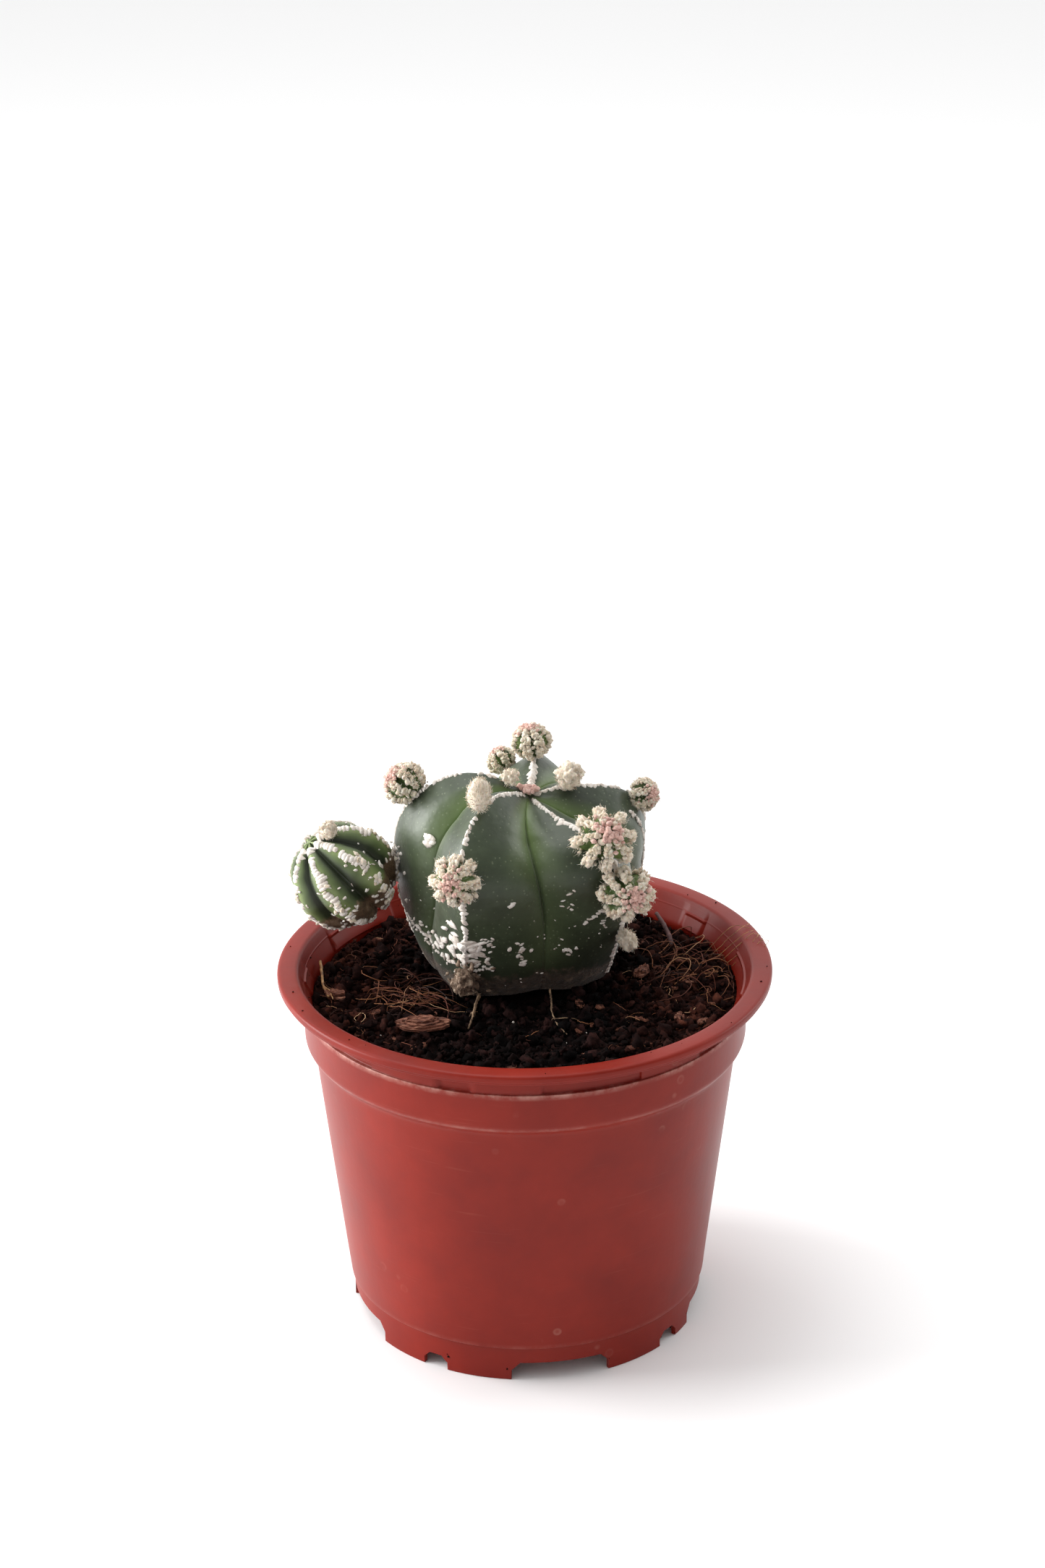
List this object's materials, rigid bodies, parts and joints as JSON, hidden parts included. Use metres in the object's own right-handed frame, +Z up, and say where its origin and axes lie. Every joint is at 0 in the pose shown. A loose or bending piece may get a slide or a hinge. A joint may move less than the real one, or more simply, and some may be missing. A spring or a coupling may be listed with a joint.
{
  "type": "potted bishop's cap cactus with offsets",
  "caption": "Squat ribbed bishop's-cap cactus with white-flecked crests and woolly young offsets, rooted in peat in a moulded plastic nursery pot.",
  "frame": {"origin": "centre of the pot's foot ring, on the surface that the pot stands on", "axes": "+Z up along the pot's axis; -Y is the front, where two ribs with two large offsets on the right one face; +X is the right; the large offset stands to the left"},
  "size_m": [0.105, 0.105, 0.1263],
  "materials": {
    "pot_plastic": "injection-moulded terracotta-coloured polypropylene, satin with fine scratches and water marks",
    "peat_soil": "moist dark peat and coir crumbs",
    "cactus_skin": "smooth waxy grey-green epidermis with white felted flecks along the crests",
    "offset_skin": "young green skin under dense cream woolly flecks",
    "areole_wool": "matted cream and pinkish plant wool",
    "dry_wool": "dried brown areole wool and old flower remains",
    "root": "thin pale dry roots",
    "twig": "thin purple-brown twig",
    "straw": "dry straw",
    "coir": "loose coir fibres",
    "bark": "reddish-brown bark chips"
  },
  "bodies": {
    "root": {"pot": "pot_plastic", "soil": "peat_soil", "cactus_stem": "cactus_skin", "offset_left": "offset_skin", "pup_left_shoulder": "offset_skin", "pup_front_left": "offset_skin", "pup_front_right_upper": "offset_skin", "pup_front_right_lower": "offset_skin", "pup_back_top": "offset_skin", "pup_back_side": "offset_skin", "pup_back_right": "offset_skin", "wool_apex": "areole_wool", "wool_bud_front_left": "areole_wool", "wool_bud_back_right": "areole_wool", "wool_bud_back_left": "areole_wool", "wool_tuft_base_right": "areole_wool", "wool_tuft_offset": "areole_wool", "dry_tuft_base_left": "dry_wool", "root_left": "root", "root_right": "root", "twig_right": "twig", "straw_left": "straw", "coir_fibre_left_1": "coir", "coir_fibre_left_2": "coir", "coir_fibre_left_3": "coir", "coir_fibre_right_1": "coir", "coir_fibre_right_2": "coir", "coir_fibre_right_3": "coir", "bark_chip_front_left": "bark", "bark_chip_right": "bark", "bark_chip_left": "bark"}
  },
  "joints": []
}
